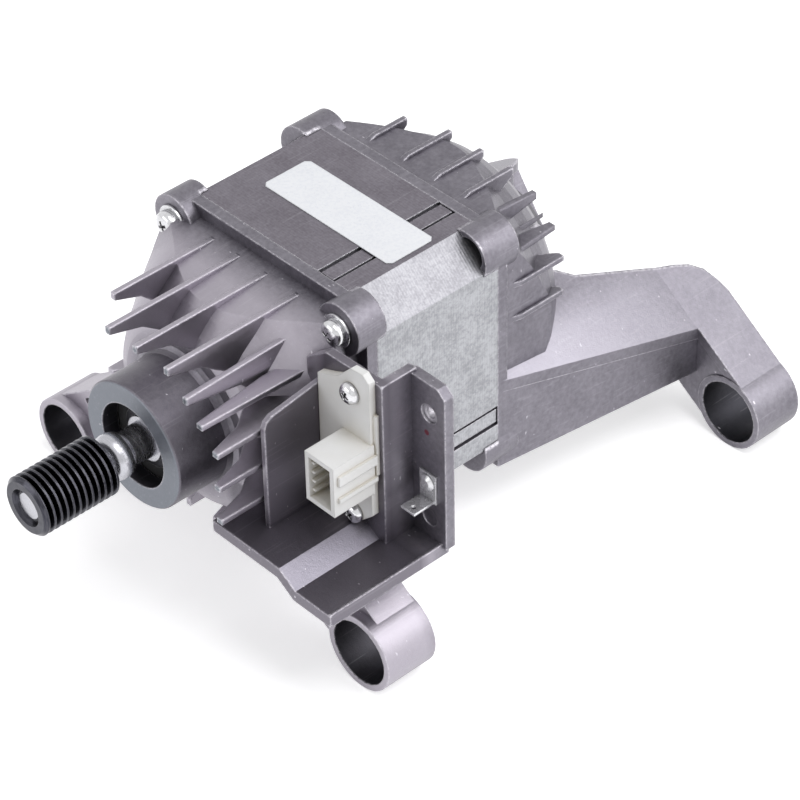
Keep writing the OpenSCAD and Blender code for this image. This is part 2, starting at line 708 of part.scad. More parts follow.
// Ribbed belt pulley, turned in one piece
module pulley() {
  r = pulley_d / 2;
  start = pulley_front_y + 1.2;
  color("black") difference() {
    turned(concat([[0, pulley_front_y], [r - 1.2, pulley_front_y], [r, start]],
      [for (i = [0 : pulley_ribs - 1]) each [[r, start + i * rib_pitch + 0.35],
        [r - rib_depth, start + (i + 0.5) * rib_pitch - 0.12],
        [r - rib_depth, start + (i + 0.5) * rib_pitch + 0.12],
        [r, start + (i + 1) * rib_pitch - 0.35]]],
      [[r, pulley_rear_y], [0, pulley_rear_y]]));
    rod(pulley_bore_d / 2 + fit, pulley_front_y - 1, pulley_rear_y + 1);
    turned([[0, pulley_front_y - 1], [pulley_bore_d / 2 + 1.4, pulley_front_y - 1],
      [pulley_bore_d / 2 + 1.4, pulley_front_y], [pulley_bore_d / 2 + 0.5, pulley_front_y + 1.8],
      [0, pulley_front_y + 1.8]]);
  }
}

// Ring magnet on the rear shaft end, inside the sensing coil
module tacho_magnet() {
  color("dimgray") pipe(5 + fit, 8.4, rear_hub_y - 1.5, rear_hub_y + cover_len - 3);
}

module tacho_coil() {
  color("firebrick") pipe(9.6, tacho_r - 2, rear_hub_y - 2.9, rear_hub_y + cover_len - 2);
}

// Cap over the tacho, pressed into the recess up to its flange
module tacho_cover() {
  end_y = rear_hub_y + cover_len;
  color("whitesmoke") {
    pipe(tacho_r - 1.9, tacho_r, rear_hub_y - 2.9, end_y);
    rod(tacho_r - 1, end_y - 1.6, end_y);
    pipe(tacho_r - 0.5, tacho_r + 1.5, rear_hub_y + fit, rear_hub_y + 2);
  }
}

// Flanged plug housing with an open socket, guide ribs and a strip behind its right edge
module connector_housing() {
  low_z = plug_top - plug_h;
  half_h = socket_h / 2;
  mouth = plug_face - socket_len;
  color("white") difference() {
    union() {
      sweep(plug_face, wall_front - fit) polygon([[plug_x, low_z + 6], [plug_x + 8, low_z],
        [plug_x + 16, low_z - 0.7], [plug_x + plug_w, low_z + 5],
        [plug_x + plug_w, plug_top - 1.5], [plug_x + plug_w - 2.5, plug_top + 0.7],
        [plug_x + 14.5, plug_top + 0.2], [plug_x + 8.8, plug_top - 5.7],
        [plug_x + 5, plug_top - 7.5], [plug_x, plug_top - 9.5]]);
      translate([socket_x, mouth, socket_z - half_h]) cube([socket_w, socket_len + 1, socket_h]);
      translate([socket_x + 0.6, wall_front - 1, socket_z - half_h + 0.6])
        cube([socket_w - 3.2, bracket_t + 7, socket_h - 1.2]);
      translate([socket_x, mouth + 1.5, socket_z + 2]) cube([socket_w + 0.9, socket_len, 3.4]);
      translate([socket_x, mouth + 1.5, socket_z - 4.2]) cube([socket_w + 0.9, socket_len, 1.6]);
      translate([plug_x + 14, wall_front - 1.2, socket_z - 2.5])
        cube([plug_w - 12.8, 1.2 - fit, 22]);
    }
    difference() {
      translate([socket_x + 1.6, mouth - 1, socket_z - half_h + 1.6])
        cube([socket_w - 3.2, socket_len + 6, socket_h - 3.2]);
      for (i = [-1.5, -0.5, 0.5, 1.5])
        translate([socket_x + 1, mouth + 1, socket_z + i * 3.4 - 0.4])
          cube([2, socket_len + 6, 0.8]);
    }
    pins(slip / 2);
    plug_screw_places() rod(1.9, plug_face - 1, wall_front + 1);
  }
}

module plug_screw_places() {
  for (s = [-0.5, 0.5]) translate([screw_x, 0, plug_mid_z + s * plug_screw_pitch]) children();
}

// Six flat pins, made larger all round for their slots
module pins(more) {
  start = plug_face - socket_len + 6;
  back = wall_front + bracket_t + 9;
  for (i = [0 : 5])
    translate([socket_x + socket_w / 2 - more, start - more, socket_z + (i - 2.5) * 2.4 - 0.4 - more])
      cube([2.4 + 2 * more, back - start + 2 * more, 0.8 + 2 * more]);
}

module connector_terminals() color("gold") pins(0);

module connector_screws() {
  color("silver") plug_screw_places() difference() {
    union() {
      rod(1.3 - fit, plug_face - 0.5, wall_front + bracket_t + 3);
      turned([[0, plug_face - fit], [3.3, plug_face - fit], [3.3, plug_face - 1.2],
        [2.4, plug_face - 2.2], [0, plug_face - 2.4]]);
    }
    sweep(plug_face - 3, plug_face - 1.2) circle(1.3, $fn = 6);
  }
}

// Flat earth blade riveted to the panel and bent forward
module earth_tab() {
  blade_w = 6.3;
  t = 0.8;
  face = panel_front - fit;
  color("silver") difference() {
    union() {
      translate([rivet_x - 3.4, face - t, rivet_z - 7]) cube([blade_w + 0.5, t, 10.5]);
      translate([rivet_x - 3.2, face - 8.6, rivet_z - 7]) cube([blade_w - 0.6, 8.6, t]);
    }
    translate([rivet_x, 0, rivet_z]) rod(1.6 + slip, face - 3, face + 1);
    translate([rivet_x, face - 6.5, rivet_z - 8]) cylinder(r = 0.8, h = 3);
  }
}

module earth_rivet() {
  front = panel_front - 0.9;
  back = panel_front + bracket_t + 0.5;
  color("silver") translate([rivet_x, 0, rivet_z]) turned([[0, front - 1.2], [1.6, front - 1.1],
    [2.8, front - 0.3], [2.8, front], [1.6, front], [1.6, back + fit], [2.6, back + fit],
    [2.4, back + 0.9], [0, back + 1]]);
}

module label() {
  color("white") translate([-label_x, label_y, half_w]) difference() {
    cube([label_w, label_d, 0.2]);
    for (x = [0, label_w], y = [0, label_d]) translate([x, y, -1]) rotate(45)
      cube([2, 2, 3], center = true);
  }
}

place() front_shield();
place() rear_shield();
place() stator_stack();
place() stator_cleats();
place() slot_liners();
place() stator_winding();
place() housing_screws();
place() front_bearing_outer();
place() front_bearing_inner();
place() front_bearing_balls();
place() front_bearing_cage();
place() front_bearing_seals();
place() rear_bearing_outer();
place() rear_bearing_inner();
place() rear_bearing_balls();
place() rear_bearing_cage();
place() rear_bearing_seals();
place() wave_washer();
place() shaft();
place() rotor_core();
place() rotor_cage();
place() pulley();
place() tacho_magnet();
place() tacho_coil();
place() tacho_cover();
place() connector_housing();
place() connector_terminals();
place() connector_screws();
place() earth_tab();
place() earth_rivet();
place() label();
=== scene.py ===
# Washing machine motor: finishes, light and camera over the CAD frame.
import math

import bpy
from mathutils import Matrix, Vector


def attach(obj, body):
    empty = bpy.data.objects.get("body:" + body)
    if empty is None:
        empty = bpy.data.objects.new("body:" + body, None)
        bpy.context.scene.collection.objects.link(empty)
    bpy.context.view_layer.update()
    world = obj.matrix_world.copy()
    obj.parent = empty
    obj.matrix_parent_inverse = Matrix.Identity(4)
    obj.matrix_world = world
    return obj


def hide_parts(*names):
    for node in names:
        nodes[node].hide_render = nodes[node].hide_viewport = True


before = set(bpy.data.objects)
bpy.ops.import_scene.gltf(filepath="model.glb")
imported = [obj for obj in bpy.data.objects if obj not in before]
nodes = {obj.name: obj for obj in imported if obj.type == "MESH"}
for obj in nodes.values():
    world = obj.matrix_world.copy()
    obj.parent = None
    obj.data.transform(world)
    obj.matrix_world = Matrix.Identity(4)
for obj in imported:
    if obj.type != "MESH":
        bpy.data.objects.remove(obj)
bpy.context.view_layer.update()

MM = 0.001
# The CAD frame's origin, seen from the shaft axis at the stack's front plane
SHAFT_HEIGHT = 66.2
MIDDLE_Y = 24.33

# Sizes in millimetres, from the shaft axis at the stack's front plane
STACK_LEN = 49.0
SCREW_OFFSET = 37.2
HUB_RADIUS = 21.4
HUB_MOUTH_RADIUS = 14.2
HUB_FACE = -58.0
FOOT_X = 70.0
FOOT_Z = -53.0
FOOT_BORE_RADIUS = 11.0
CORNER_FIN = 31.0
WALL_FRONT = -19.5
PANEL_FRONT = -8.0
TRAY_TOP = -14.5
RED_DOT = (74.3, 20.7)
DIMPLE = (75.4, 28.2)
PLUG_SCREW_X = 58.0
PLUG_SCREW_HEIGHTS = (34.0, -11.0)


def at(x, y, z):
    """A point given in millimetres from the shaft axis at the stack's front."""
    return Vector((x, y - MIDDLE_Y, z + SHAFT_HEIGHT)) * MM


def along(y):
    """The frame's Y in metres for millimetres behind the stack's front."""
    return (y - MIDDLE_Y) * MM


def level(z):
    """The frame's Z in metres for millimetres above the shaft axis."""
    return (z + SHAFT_HEIGHT) * MM


# Node groups


class Sheet:
    """Places shader nodes in one tree and joins them."""

    def __init__(self, tree):
        self.tree = tree
        self.column = 0

    def add(self, kind, inputs=None, **settings):
        node = self.tree.nodes.new(kind)
        self.column += 1
        node.location = (self.column * 180, -40 * (self.column % 5))
        for name, value in settings.items():
            setattr(node, name, value)
        for name, value in (inputs or {}).items():
            self.feed(node.inputs[name], value)
        return node

    def feed(self, socket, value):
        if isinstance(value, bpy.types.NodeSocket):
            self.tree.links.new(value, socket)
        else:
            socket.default_value = value

    def maths(self, operation, a, b=0.0):
        node = self.add("ShaderNodeMath", operation=operation)
        self.feed(node.inputs[0], a)
        self.feed(node.inputs[1], b)
        return node.outputs[0]

    def product(self, first, *others):
        for other in others:
            first = self.maths("MULTIPLY", first, other)
        return first

    def split(self, vector):
        node = self.add("ShaderNodeSeparateXYZ")
        self.feed(node.inputs[0], vector)
        return node.outputs

    def facing(self):
        """Parts of the surface's own normal."""
        return self.split(self.add("ShaderNodeTexCoord").outputs["Normal"])

    def seen_rays(self):
        """1 for camera, glossy and transmission rays, which see the white background."""
        path = self.add("ShaderNodeLightPath").outputs
        seen = self.maths("MAXIMUM", path["Is Camera Ray"], path["Is Glossy Ray"])
        return self.maths("MAXIMUM", seen, path["Is Transmission Ray"])

    def remap(self, value, low, high, to_low=0.0, to_high=1.0):
        node = self.add("ShaderNodeMapRange")
        self.feed(node.inputs["Value"], value)
        self.feed(node.inputs["From Min"], low)
        self.feed(node.inputs["From Max"], high)
        self.feed(node.inputs["To Min"], to_low)
        self.feed(node.inputs["To Max"], to_high)
        return node.outputs["Result"]

    def blend(self, factor, a, b):
        node = self.add("ShaderNodeMix", data_type="RGBA")
        self.feed(node.inputs[0], factor)
        self.feed(node.inputs[6], a)
        self.feed(node.inputs[7], b)
        return node.outputs[2]

    def noise(self, vector, scale, detail=3.0, roughness=0.55):
        node = self.add("ShaderNodeTexNoise", {"Scale": scale, "Detail": detail,
                                               "Roughness": roughness})
        self.feed(node.inputs["Vector"], vector)
        return node.outputs["Fac"]

    def stretched(self, vector, scale):
        node = self.add("ShaderNodeMapping")
        self.feed(node.inputs["Vector"], vector)
        node.inputs["Scale"].default_value = scale
        return node.outputs[0]


def new_group(name, inputs, outputs):
    group = bpy.data.node_groups.new(name, "ShaderNodeTree")
    for label, kind, value in inputs:
        socket = group.interface.new_socket(label, in_out="INPUT", socket_type=kind)
        if value is not None:
            socket.default_value = value
    for label, kind in outputs:
        group.interface.new_socket(label, in_out="OUTPUT", socket_type=kind)
    sheet = Sheet(group)
    return group, sheet, sheet.add("NodeGroupInput"), sheet.add("NodeGroupOutput")


FLOAT = "NodeSocketFloat"
VECTOR = "NodeSocketVector"


def edge_group():
    """Rounded normals, a broken mask of wear on outer edges and a mask of hollows that takes painted
    shade.
    """
    group, s, given, out = new_group(
        "edge wear and hollow shade",
        [("Vector", VECTOR, None), ("Radius", FLOAT, 0.001), ("Break", FLOAT, 900.0),
         ("Shelter", FLOAT, 0.005)],
        [("Mask", FLOAT), ("Hollow shade", FLOAT), ("Normal", VECTOR)])
    radius = given.outputs["Radius"]
    rounded = s.add("ShaderNodeBevel", {"Radius": radius}, samples=4)
    within = s.add("ShaderNodeAmbientOcclusion", {"Distance": radius}, samples=4, inside=True,
                   only_local=True)
    edge = s.remap(within.outputs["AO"], 0.76, 0.50)
    outer = s.remap(within.outputs["AO"], 0.98, 0.80)
    turned = s.add("ShaderNodeMix", data_type="VECTOR")
    s.feed(turned.inputs[0], outer)
    s.feed(turned.inputs[4], s.add("ShaderNodeNewGeometry").outputs["Normal"])
    s.feed(turned.inputs[5], rounded.outputs[0])
    unit = s.add("ShaderNodeVectorMath", operation="NORMALIZE")
    s.feed(unit.inputs[0], turned.outputs[1])
    s.feed(out.inputs["Normal"], unit.outputs[0])
    patch = s.remap(s.noise(given.outputs["Vector"], given.outputs["Break"], 2.0), 0.36, 0.58,
                    0.25, 1.0)
    s.feed(out.inputs["Mask"], s.product(edge, patch))
    # Near and wide ambient occlusion marks the hollows that take painted shade.
    around = s.add("ShaderNodeAmbientOcclusion", {"Distance": given.outputs["Shelter"]}, samples=4)
    wide = s.add("ShaderNodeAmbientOcclusion",
                 {"Distance": s.product(given.outputs["Shelter"], 3.0)}, samples=4)
    near = s.remap(around.outputs["AO"], 0.75, 0.15)
    s.feed(out.inputs["Hollow shade"], s.maths("MAXIMUM", near, s.remap(wide.outputs["AO"], 0.85, 0.10,
                                                                  0.0, 0.8)))
    return group


def cast_group():
    """Mottle, grain and small nicks of a die-cast skin."""
    group, s, given, out = new_group(
        "cast skin", [("Vector", VECTOR, None), ("Grain", FLOAT, 2600.0), ("Mottle", FLOAT, 70.0)],
        [("Grain", FLOAT), ("Mottle", FLOAT), ("Nicks", FLOAT)])
    vector = given.outputs["Vector"]
    s.feed(out.inputs["Grain"], s.noise(vector, given.outputs["Grain"], 3.0, 0.7))
    s.feed(out.inputs["Mottle"], s.noise(vector, given.outputs["Mottle"], 5.0, 0.6))
    nick = s.noise(s.stretched(vector, (1.0, 2.0, 1.0)), 420.0, 2.0, 0.4)
    s.feed(out.inputs["Nicks"], s.remap(nick, 0.75, 0.775))
    return group


def scratch_group():
    """Fine straight scratches in two directions."""
    group, s, given, out = new_group(
        "fine scratches", [("Vector", VECTOR, None), ("Density", FLOAT, 900.0)], [("Mask", FLOAT)])
    masks = []
    for turn, squash in ((0.5, 0.03), (-0.9, 0.04)):
        mapping = s.add("ShaderNodeMapping")
        s.feed(mapping.inputs["Vector"], given.outputs["Vector"])
        mapping.inputs["Rotation"].default_value = (turn, turn * 0.6, turn)
        mapping.inputs["Scale"].default_value = (1.0, squash, 1.0)
        lines = s.noise(mapping.outputs[0], given.outputs["Density"], 1.0, 0.4)
        masks.append(s.remap(lines, 0.68, 0.72))
    s.feed(out.inputs["Mask"], s.maths("MAXIMUM", masks[0], masks[1]))
    return group


EDGES_AND_SHADE = edge_group()
CAST = cast_group()
SCRATCHES = scratch_group()


def place_group(s, group, **values):
    node = s.add("ShaderNodeGroup")
    node.node_tree = group
    for name, value in values.items():
        s.feed(node.inputs[name.replace("_", " ")], value)
    return node.outputs


def new_material(name, metallic=0.0, **sockets):
    material = bpy.data.materials.new(name)
    material.use_nodes = True
    tree = material.node_tree
    tree.nodes.clear()
    s = Sheet(tree)
    where = s.add("ShaderNodeTexCoord").outputs["Object"]
    surface = s.add("ShaderNodeBsdfPrincipled")
    surface.inputs["Metallic"].default_value = metallic
    for label, value in sockets.items():
        surface.inputs[label.replace("_", " ")].default_value = value
    result = s.add("ShaderNodeOutputMaterial")
    s.feed(result.inputs["Surface"], surface.outputs[0])
    return material, s, where, surface


def bump(s, surface, height, strength, distance, rounded):
    node = s.add("ShaderNodeBump")
    s.feed(node.inputs["Normal"], rounded)
    node.inputs["Strength"].default_value = strength
    node.inputs["Distance"].default_value = distance
    s.feed(node.inputs["Height"], height)
    s.feed(surface.inputs["Normal"], node.outputs[0])


def rgb(r, g, b):
    """Colour from screen values of 0 to 255."""
    def linear(v):
        v /= 255.0
        return v / 12.92 if v <= 0.04045 else ((v + 0.055) / 1.055) ** 2.4
    return (linear(r), linear(g), linear(b), 1.0)


# Finishes


def within_band(s, value, middle, half, soft):
    """1 where value is nearer to middle than half, fading out over soft."""
    away = s.maths("ABSOLUTE", s.maths("SUBTRACT", value, middle))
    return s.remap(away, half, half + soft, 1.0, 0.0)


def off_corner_spikes(s, where):
    """0 over the thin lower ends of the rear corner fins, where wear on the edges shows as a bright line.
    """
    x, y, z = s.split(where)
    beside = s.maths("ABSOLUTE", x)
    upright = s.product(within_band(s, beside, CORNER_FIN * MM, 0.0016, 0.0004),
                        s.remap(z, level(CORNER_FIN - 3.2), level(CORNER_FIN - 0.2)))
    lying = s.product(within_band(s, z, level(CORNER_FIN), 0.0018, 0.0006),
                      s.remap(beside, (CORNER_FIN + 2.0) * MM, (CORNER_FIN + 3.0) * MM))
    corner = s.product(within_band(s, beside, (CORNER_FIN + 1.0) * MM, 0.0036, 0.0005),
                       within_band(s, z, level(CORNER_FIN), 0.0028, 0.0005))
    spikes = s.maths("MAXIMUM", s.maths("MAXIMUM", upright, lying), corner)
    behind = s.remap(y, along(STACK_LEN + 5.0), along(STACK_LEN + 7.0))
    return s.maths("SUBTRACT", 1.0, s.product(spikes, behind))


def cast_metal(name, base, pale, roughness, bracket=False):
    material, s, where, surface = new_material(name, metallic=0.92)
    skin = place_group(s, CAST, Vector=where)
    wear_and_shade = place_group(s, EDGES_AND_SHADE, Vector=where)
    scratch = place_group(s, SCRATCHES, Vector=where)["Mask"]
    fine = s.noise(where, 620.0, 4.0, 0.65)
    tone = s.maths("ADD", s.product(skin["Mottle"], 0.45), s.product(fine, 0.55))
    colour = s.blend(s.remap(tone, 0.36, 0.64), base, pale)
    if bracket:
        colour = shield_tones(s, where, colour)
    colour = foot_tones(s, where, colour)
    # Painted shade: hollows darkened towards near black.
    colour = s.blend(s.product(wear_and_shade["Hollow shade"], 0.55), colour, rgb(28, 26, 31))
    nicks = s.product(skin["Nicks"], 0.6)
    wear = wear_and_shade["Mask"] if bracket else s.product(wear_and_shade["Mask"], off_corner_spikes(s, where))
    bright = s.maths("MAXIMUM", s.product(wear, 0.7), nicks)
    bright = s.maths("MAXIMUM", bright, s.product(scratch, 0.05))
    s.feed(surface.inputs["Base Color"], s.blend(bright, colour, rgb(226, 223, 230)))
    s.feed(surface.inputs["Roughness"], s.remap(tone, 0.36, 0.64, roughness - 0.04, roughness + 0.05))
    height = s.maths("ADD", skin["Grain"], s.product(fine, 1.2))
    bump(s, surface, height, 0.22, 0.0003, wear_and_shade["Normal"])
    return material


def from_axis(s, a, b, middle_a, middle_b):
    """Distance from an axis, given two coordinates across it."""
    a = s.maths("SUBTRACT", a, middle_a)
    b = s.maths("SUBTRACT", b, middle_b)
    return s.maths("SQRT", s.maths("ADD", s.product(a, a), s.product(b, b)))


def foot_tones(s, where, colour):
    """Painted light as paler skin on the sloping top of the rear arms, less towards the back, and painted
    shade as dark walls inside the foot tubes.
    """
    x, y, z = s.split(where)
    beside = s.maths("ABSOLUTE", x)
    facing = s.facing()
    # Painted light: upward sloping arm faces made paler, less so further back.
    skin = s.product(within_band(s, s.maths("ABSOLUTE", facing["X"]), 0.57, 0.10, 0.30),
                     within_band(s, facing["Z"], 0.81, 0.08, 0.35),
                     s.remap(z, level(-4.2), level(-8.2)),
                     s.remap(beside, 0.030, 0.040),
                     s.remap(y, 0.020, 0.030))
    far = s.remap(y, 0.050, 0.110, 0.65, 0.12)
    colour = s.blend(s.product(skin, far), colour, rgb(186, 182, 193))
    # Painted shade: the foot tube walls made dark.
    reach = from_axis(s, beside, z, FOOT_X * MM, level(FOOT_Z))
    inside = s.remap(reach, (FOOT_BORE_RADIUS + 0.1) * MM, (FOOT_BORE_RADIUS + 0.3) * MM, 1.0, 0.0)
    return s.blend(s.product(inside, 0.88), colour, rgb(36, 37, 42))


def hub_tones(s, y, reach, colour):
    """Paler dome as painted light, darker hub with a dark mouth as painted shade."""
    # Painted light: the dome made paler.
    dome = s.product(s.remap(reach, (HUB_RADIUS + 0.8) * MM, 0.030), s.remap(y, along(-7.0), along(-18.0)))
    colour = s.blend(s.product(dome, 0.65), colour, rgb(186, 180, 190))
    hub = s.product(s.remap(reach, (HUB_RADIUS + 0.2) * MM, (HUB_RADIUS + 0.8) * MM, 1.0, 0.0),
                    s.remap(y, along(-26.0), along(-34.0)))
    colour = s.blend(s.product(hub, 0.5), colour, rgb(84, 80, 88))
    # Painted shade: the hub's mouth made dark.
    mouth = s.product(s.remap(reach, (HUB_MOUTH_RADIUS + 0.1) * MM, (HUB_MOUTH_RADIUS + 0.3) * MM,
                              1.0, 0.0),
                      s.remap(y, along(HUB_FACE + 1.0), along(HUB_FACE + 3.0)),
                      s.remap(y, along(-30.0), along(-28.0), 1.0, 0.0))
    return s.blend(s.product(mouth, 0.8), colour, rgb(64, 64, 70))


def shield_tones(s, where, colour):
    """Tones of the front shield: dome, hub, painted shade over the bracket with painted light on its tray
    slope, turned hub face and panel marks, with a painted highlight in the dimple.
    """
    x, y, z = s.split(where)
    reach = from_axis(s, x, z, 0.0, level(0.0))
    colour = hub_tones(s, y, reach, colour)
    beside = s.remap(x, 0.040, 0.044)
    ahead = s.remap(y, along(WALL_FRONT + 6.5), along(WALL_FRONT + 2.5))
    above = s.remap(z, level(-38.0), level(-34.0))
    low = s.product(s.remap(z, level(TRAY_TOP + 2.0), level(TRAY_TOP + 1.0)),
                    s.remap(reach, (HUB_RADIUS + 0.8) * MM, (HUB_RADIUS + 1.6) * MM),
                    ahead, above, s.remap(x, 0.016, 0.020))
    slope = s.product(low, within_band(s, s.facing()["Z"], 0.74, 0.16, 0.06))
    # Painted shade: the bracket's panel, wall and tray darkened.
    dark = s.maths("MAXIMUM", s.product(beside, ahead, above), low)
    colour = s.blend(s.product(dark, 0.75), colour, rgb(88, 84, 93))
    # Painted light: the tray's upward slope made paler.
    colour = s.blend(s.product(slope, 0.5), colour, rgb(160, 157, 169))
    turned = s.remap(y, along(HUB_FACE + 0.4), along(HUB_FACE + 0.1))
    colour = s.blend(turned, colour, rgb(118, 122, 130))
    panel = s.remap(y, along(PANEL_FRONT + 1.0), along(PANEL_FRONT + 0.2))
    dot = s.remap(from_axis(s, x, z, RED_DOT[0] * MM, level(RED_DOT[1])), 0.0008, 0.0011, 1.0, 0.0)
    colour = s.blend(s.product(dot, panel, 0.8), colour, rgb(130, 30, 48))
    # Painted highlight: the panel's dimple made pale.
    dimple = s.remap(from_axis(s, x, z, DIMPLE[0] * MM, level(DIMPLE[1])), 0.0030, 0.0034, 1.0, 0.0)
    return s.blend(s.product(dimple, beside, 0.8), colour, rgb(206, 203, 210))


def lamination(name, base, pale):
    material, s, where, surface = new_material(name, metallic=0.92)
    stripes = s.add("ShaderNodeTexWave", {"Scale": 320.0, "Distortion": 0.4, "Detail": 2.0},
                    bands_direction="Y")
    s.feed(stripes.inputs["Vector"], where)
    skin = place_group(s, CAST, Vector=where, Mottle=110.0)
    wear_and_shade = place_group(s, EDGES_AND_SHADE, Vector=where, Radius=0.0006)
    scratch = place_group(s, SCRATCHES, Vector=where, Density=1200.0)["Mask"]
    fine = s.noise(where, 900.0, 4.0, 0.7)
    tone = s.maths("ADD", s.product(fine, 0.6), s.product(skin["Mottle"], 0.4))
    colour = s.blend(s.remap(tone, 0.38, 0.62), base, pale)
    # Painted light: faces towards X are given a lighter grey than the top.
    upright = s.remap(s.maths("ABSOLUTE", s.facing()["X"]), 0.3, 0.95)
    side = s.blend(s.remap(tone, 0.42, 0.58), rgb(148, 149, 153), rgb(178, 179, 183))
    colour = s.blend(upright, colour, side)
    colour = s.blend(s.product(stripes.outputs["Fac"], 0.08), colour, rgb(70, 66, 74))
    colour = s.blend(s.product(scratch, 0.06), colour, rgb(220, 217, 224))
    # Painted shade: hollows darkened towards near black.
    colour = s.blend(s.product(wear_and_shade["Hollow shade"], 0.6), colour, rgb(30, 28, 33))
    colour = s.blend(s.product(wear_and_shade["Mask"], 0.5), colour, rgb(226, 224, 230))
    s.feed(surface.inputs["Base Color"], colour)
    s.feed(surface.inputs["Roughness"], s.remap(tone, 0.38, 0.62, 0.36, 0.46))
    bump(s, surface, s.maths("ADD", stripes.outputs["Fac"], fine), 0.10, 0.0002, wear_and_shade["Normal"])
    return material


def plain_metal(name, base, pale, roughness, grain=1400.0, stretch=(1.0, 1.0, 1.0), wear=0.4,
                metal=1.0, shelter=0.002, hollow_shade=0.8):
    material, s, where, surface = new_material(name, metallic=metal)
    grain_value = s.noise(s.stretched(where, stretch), grain, 3.0, 0.6)
    wear_and_shade = place_group(s, EDGES_AND_SHADE, Vector=where, Radius=0.0004, Shelter=shelter)
    colour = s.blend(s.remap(grain_value, 0.3, 0.7), base, pale)
    # Painted shade: hollows darkened towards near black.
    colour = s.blend(s.product(wear_and_shade["Hollow shade"], hollow_shade), colour, rgb(22, 22, 25))
    colour = s.blend(s.product(wear_and_shade["Mask"], wear), colour, rgb(240, 240, 242))
    s.feed(surface.inputs["Base Color"], colour)
    s.feed(surface.inputs["Roughness"], s.remap(grain_value, 0.3, 0.7, roughness - 0.04,
                                                roughness + 0.05))
    bump(s, surface, grain_value, 0.05, 0.00005, wear_and_shade["Normal"])
    return material


# Colour of the painted shade in plastic hollows.
RECESS_SHADE = (0.01, 0.01, 0.011, 1.0)


def plastic(name, base, shade, roughness, grain=1800.0, recess=RECESS_SHADE):
    material, s, where, surface = new_material(name, metallic=0.0)
    grain_value = s.noise(where, grain, 3.0, 0.6)
    cloud = s.noise(where, 90.0, 4.0, 0.5)
    colour = s.blend(s.remap(cloud, 0.35, 0.7, 0.0, 0.6), base, shade)
    wear_and_shade = place_group(s, EDGES_AND_SHADE, Vector=where, Radius=0.0006, Shelter=0.003)
    # Painted shade: hollows blended towards the recess colour.
    colour = s.blend(s.product(wear_and_shade["Hollow shade"], 0.6), colour, recess)
    colour = s.blend(s.product(wear_and_shade["Mask"], 0.25), colour, rgb(252, 252, 250))
    s.feed(surface.inputs["Base Color"], colour)
    s.feed(surface.inputs["Roughness"], s.remap(grain_value, 0.3, 0.7, roughness - 0.04,
                                                roughness + 0.08))
    bump(s, surface, grain_value, 0.06, 0.0001, wear_and_shade["Normal"])
    return material


cast_shield = cast_metal("cast aluminium", rgb(108, 105, 113), rgb(134, 131, 139), 0.38, True)
cast_rear = cast_metal("cast aluminium rear", rgb(108, 105, 113), rgb(134, 131, 139), 0.38)
stack_steel = lamination("stack sheets", rgb(110, 105, 113), rgb(132, 128, 136))
bright_steel = plain_metal("bright steel", rgb(190, 190, 194), rgb(222, 222, 226), 0.24)
shaft_steel = plain_metal("turned steel", rgb(180, 180, 186), rgb(194, 194, 200), 0.26,
                          1300.0, (0.2, 1.0, 0.2), metal=0.95, shelter=0.0008, hollow_shade=0.15)
zinc = plain_metal("zinc plate", rgb(204, 204, 207), rgb(222, 222, 225), 0.24, 500.0, metal=0.75)
# Painted shade: the front bearing's steel is dark, for the shade deep in the hub's mouth.
shaded_bearing_steel = plain_metal("shaded bearing steel", rgb(56, 56, 60), rgb(76, 76, 80), 0.36)
screw_zinc = plain_metal("screw zinc", rgb(200, 200, 202), rgb(222, 222, 225), 0.16, 500.0,
                         wear=0.2, shelter=0.0012)
black_steel = plain_metal("black oxide", rgb(56, 56, 63), rgb(82, 82, 89), 0.22, 2600.0,
                          (0.15, 1.0, 0.15), 0.35)
magnet_grey = plastic("sintered magnet", rgb(60, 60, 64), rgb(44, 44, 48), 0.6)
copper = plain_metal("varnished copper", rgb(170, 92, 48), rgb(206, 128, 74), 0.35, 1600.0,
                     (1.0, 6.0, 1.0), 0.1)
liner_film = plastic("slot film", rgb(224, 218, 190), rgb(205, 196, 160), 0.5)
cage_nylon = plastic("cage nylon", rgb(96, 110, 84), rgb(80, 92, 70), 0.5)
seal_rubber = plastic("seal rubber", rgb(24, 24, 25), rgb(34, 34, 35), 0.7)
cap_plastic = plastic("cap plastic", rgb(112, 110, 116), rgb(98, 96, 102), 0.42)
plug_plastic = plastic("plug plastic", rgb(226, 226, 226), rgb(214, 213, 210), 0.36,
                       recess=rgb(178, 162, 122))
pin_brass = plain_metal("tinned brass", rgb(190, 164, 104), rgb(220, 204, 150), 0.3)
label_film = plastic("label film", rgb(226, 228, 234), rgb(219, 221, 228), 0.3)

FINISH = {
    "front_shield": cast_shield,
    "rear_shield": cast_rear,
    "stator_stack": stack_steel,
    "stator_cleats": stack_steel,
    "slot_liners": liner_film,
    "stator_winding": copper,
    "housing_screws": zinc,
    "front_bearing_outer": shaded_bearing_steel,
    "front_bearing_inner": shaded_bearing_steel,
    "front_bearing_balls": bright_steel,
    "front_bearing_cage": cage_nylon,
    "front_bearing_seals": seal_rubber,
    "rear_bearing_outer": bright_steel,
    "rear_bearing_inner": bright_steel,
    "rear_bearing_balls": bright_steel,
    "rear_bearing_cage": cage_nylon,
    "rear_bearing_seals": seal_rubber,
    "wave_washer": bright_steel,
    "shaft": shaft_steel,
    "rotor_core": stack_steel,
    "rotor_cage": cast_rear,
    "pulley": black_steel,
    "tacho_magnet": magnet_grey,
    "tacho_coil": copper,
    "tacho_cover": cap_plastic,
    "connector_housing": plug_plastic,
    "connector_terminals": pin_brass,
    "connector_screws": zinc,
    "earth_tab": zinc,
    "earth_rivet": zinc,
    "label": label_film,
}

for name, finish in FINISH.items():
    mesh = nodes[name].data
    mesh.materials.clear()
    mesh.materials.append(finish)

# Turned pieces


